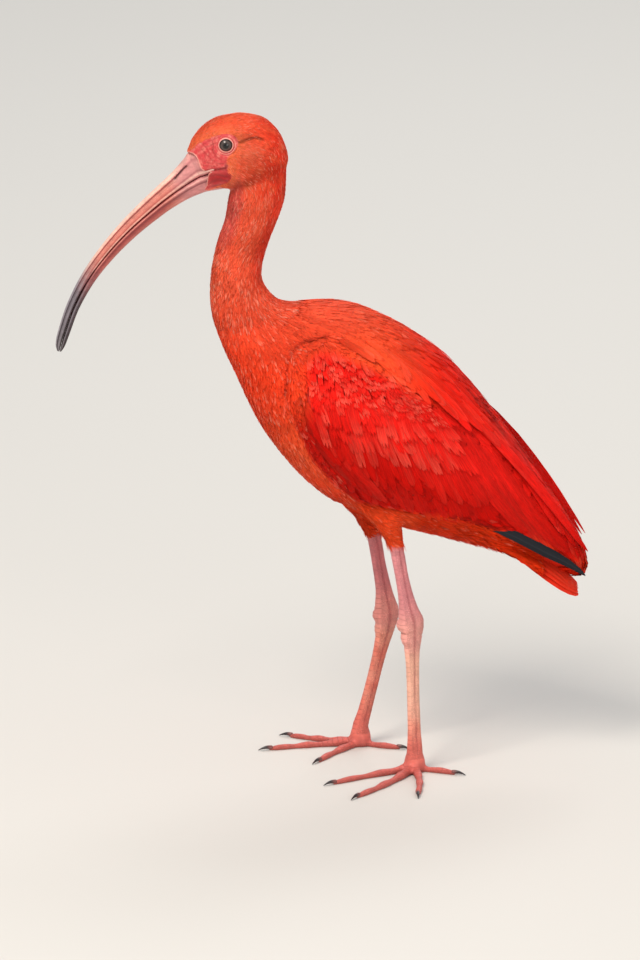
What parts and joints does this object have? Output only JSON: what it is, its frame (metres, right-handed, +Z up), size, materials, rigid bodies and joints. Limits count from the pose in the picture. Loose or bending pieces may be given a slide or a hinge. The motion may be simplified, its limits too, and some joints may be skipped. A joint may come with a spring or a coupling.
{
  "type": "scarlet ibis figure",
  "caption": "Life-size scarlet wading bird standing with folded wings, an S-curved neck, a long down-curved bill and long bare legs with spread toes.",
  "frame": {"origin": "on the floor below the middle of the bird's box, at the level of its soles", "axes": "+Z up along the standing height, the bill points towards -X, and the bird's left side faces -Y"},
  "size_m": [0.3338, 0.1424, 0.4247],
  "materials": {
    "plumage": "soft scarlet feathers",
    "quill": "blue-black feather vanes",
    "bill": "smooth horn, pink at the base and dark at the tip",
    "eye": "wet and glossy",
    "leg": "scaled pink skin",
    "claw": "dark horn"
  },
  "bodies": {
    "root": {"head": "plumage", "neck_upper": "plumage", "neck_middle": "plumage", "neck_lower": "plumage", "trunk": "plumage", "wing_left": "plumage", "wing_right": "plumage", "tail": "plumage", "thigh_left": "plumage", "thigh_right": "plumage", "primaries_left": "quill", "primaries_right": "quill", "bill_upper": "bill", "bill_lower": "bill", "eye_left": "eye", "eye_right": "eye", "shank_left": "leg", "shank_right": "leg", "tarsus_left": "leg", "tarsus_right": "leg", "foot_left": "leg", "foot_right": "leg", "toe_left_middle": "leg", "toe_left_inner": "leg", "toe_left_outer": "leg", "toe_left_hallux": "leg", "toe_right_middle": "leg", "toe_right_inner": "leg", "toe_right_outer": "leg", "toe_right_hallux": "leg", "claw_left_middle": "claw", "claw_left_inner": "claw", "claw_left_outer": "claw", "claw_left_hallux": "claw", "claw_right_middle": "claw", "claw_right_inner": "claw", "claw_right_outer": "claw", "claw_right_hallux": "claw"}
  },
  "joints": []
}
